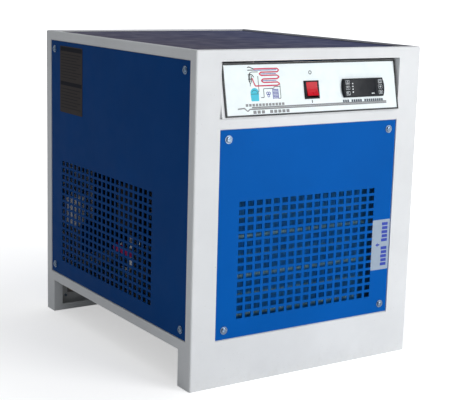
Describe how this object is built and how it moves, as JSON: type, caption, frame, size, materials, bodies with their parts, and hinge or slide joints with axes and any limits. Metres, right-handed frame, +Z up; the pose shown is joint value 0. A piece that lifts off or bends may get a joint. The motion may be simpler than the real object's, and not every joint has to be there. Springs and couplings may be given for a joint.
{
  "type": "refrigerated air dryer",
  "caption": "Cabinet compressed-air dryer with perforated panels, sloping control panel with rocker switch and indicator, and internal refrigeration, fan and drain circuits.",
  "frame": {"origin": "bottom centre of the object's bounding box, on the floor", "axes": "+Z up, the front with the controls faces -Y, +X to the right of someone facing the front"},
  "size_m": [0.4444, 0.5578, 0.53],
  "materials": {
    "white_paint": "satin powder coat",
    "blue_paint": "satin powder coat",
    "grey_sheet": "satin",
    "galvanised": "galvanised",
    "screw_steel": "zinc plated",
    "control_sheet": "satin",
    "trim_black": "matte",
    "overlay_white": "matte print",
    "black_plastic": "fine texture",
    "rocker_red": "gloss",
    "display_glass": "gloss",
    "key_black": "satin",
    "condenser_aluminium": "blue coated",
    "copper": "drawn copper",
    "motor_paint": "satin",
    "fan_aluminium": "pressed",
    "compressor_black": "gloss enamel",
    "rubber": "matte",
    "insulation": "closed-cell foam",
    "capacitor_white": "satin",
    "brass": "machined",
    "nickel": "nickel plated",
    "pipe_steel": "galvanised",
    "handle_red": "dipped vinyl",
    "timer_blue_black": "satin",
    "button_grey": "satin",
    "tube_green": "satin",
    "terminal_beige": "satin"
  },
  "bodies": {
    "cabinet": {"base_tray": "galvanised", "front_frame": "white_paint", "rear_frame": "white_paint", "top_rails": "white_paint", "bottom_rails": "white_paint", "front_panel": "blue_paint", "left_panel": "blue_paint", "right_panel": "blue_paint", "top_panel": "blue_paint", "rear_panel": "blue_paint", "rear_service_plate": "grey_sheet", "panel_screws": "screw_steel", "panel_washers": "screw_steel", "control_carrier": "control_sheet", "overlay_trim": "trim_black", "control_overlay": "overlay_white", "switch_housing": "black_plastic", "indicator_window": "display_glass", "indicator_housing": "black_plastic", "condenser_fins": "condenser_aluminium", "condenser_end_plates": "galvanised", "condenser_tubes": "copper", "fan_shroud": "galvanised", "fan_bracket": "motor_paint", "fan_motor": "motor_paint", "compressor_shell": "compressor_black", "compressor_base": "galvanised", "terminal_cover": "black_plastic", "compressor_grommets": "rubber", "compressor_bolts": "screw_steel", "heat_exchanger": "insulation", "exchanger_stand": "galvanised", "start_capacitor": "capacitor_white", "air_fittings": "brass", "air_pipes": "pipe_steel", "separator": "compressor_black", "drain_ball_valve": "nickel", "drain_solenoid": "nickel", "drain_timer": "timer_blue_black", "drain_tube": "tube_green", "drain_outlet": "brass", "cable_gland": "black_plastic", "refrigerant_lines": "copper", "hot_gas_valve": "brass", "filter_drier": "copper", "capillary_tube": "copper", "electrical_shelf": "galvanised", "contactor": "black_plastic", "terminal_block": "terminal_beige"},
    "rocker": {"switch_rocker": "rocker_red"},
    "fan": {"fan_blades": "fan_aluminium"},
    "drain_handle": {"drain_valve_handle": "handle_red"},
    "test_button": {"drain_test_button": "button_grey"},
    "key_left_top": {"key_left_top": "key_black"},
    "key_left_middle": {"key_left_middle": "key_black"},
    "key_left_bottom": {"key_left_bottom": "key_black"},
    "key_right_top": {"key_right_top": "key_black"},
    "key_right_middle": {"key_right_middle": "key_black"},
    "key_right_bottom": {"key_right_bottom": "key_black"}
  },
  "joints": [
    {"name": "rocker_tilt", "type": "hinge", "parent": "cabinet", "child": "rocker", "pos_m": [-0.004, -0.2663, 0.46363], "axis": [1, 0, 0], "range_deg": [0, 16]},
    {"name": "fan_spin", "type": "hinge", "parent": "cabinet", "child": "fan", "pos_m": [0, -0.15327, 0.25], "axis": [0, 1, 0], "continuous": true},
    {"name": "drain_handle_turn", "type": "hinge", "parent": "cabinet", "child": "drain_handle", "pos_m": [-0.184, 0.02173, 0.167], "axis": [1, 0, 0], "range_deg": [0, 90]},
    {"name": "test_button_press", "type": "slide", "parent": "cabinet", "child": "test_button", "axis": [0, 1, 0], "range_m": [0, 0.0015], "stiffness_N_per_m": 400},
    {"name": "key_left_top_press", "type": "slide", "parent": "cabinet", "child": "key_left_top", "axis": [0, 0.9781, -0.2081], "range_m": [0, 0.0005], "stiffness_N_per_m": 1500},
    {"name": "key_left_middle_press", "type": "slide", "parent": "cabinet", "child": "key_left_middle", "axis": [0, 0.9781, -0.2081], "range_m": [0, 0.0005], "stiffness_N_per_m": 1500},
    {"name": "key_left_bottom_press", "type": "slide", "parent": "cabinet", "child": "key_left_bottom", "axis": [0, 0.9781, -0.2081], "range_m": [0, 0.0005], "stiffness_N_per_m": 1500},
    {"name": "key_right_top_press", "type": "slide", "parent": "cabinet", "child": "key_right_top", "axis": [0, 0.9781, -0.2081], "range_m": [0, 0.0005], "stiffness_N_per_m": 1500},
    {"name": "key_right_middle_press", "type": "slide", "parent": "cabinet", "child": "key_right_middle", "axis": [0, 0.9781, -0.2081], "range_m": [0, 0.0005], "stiffness_N_per_m": 1500},
    {"name": "key_right_bottom_press", "type": "slide", "parent": "cabinet", "child": "key_right_bottom", "axis": [0, 0.9781, -0.2081], "range_m": [0, 0.0005], "stiffness_N_per_m": 1500}
  ]
}
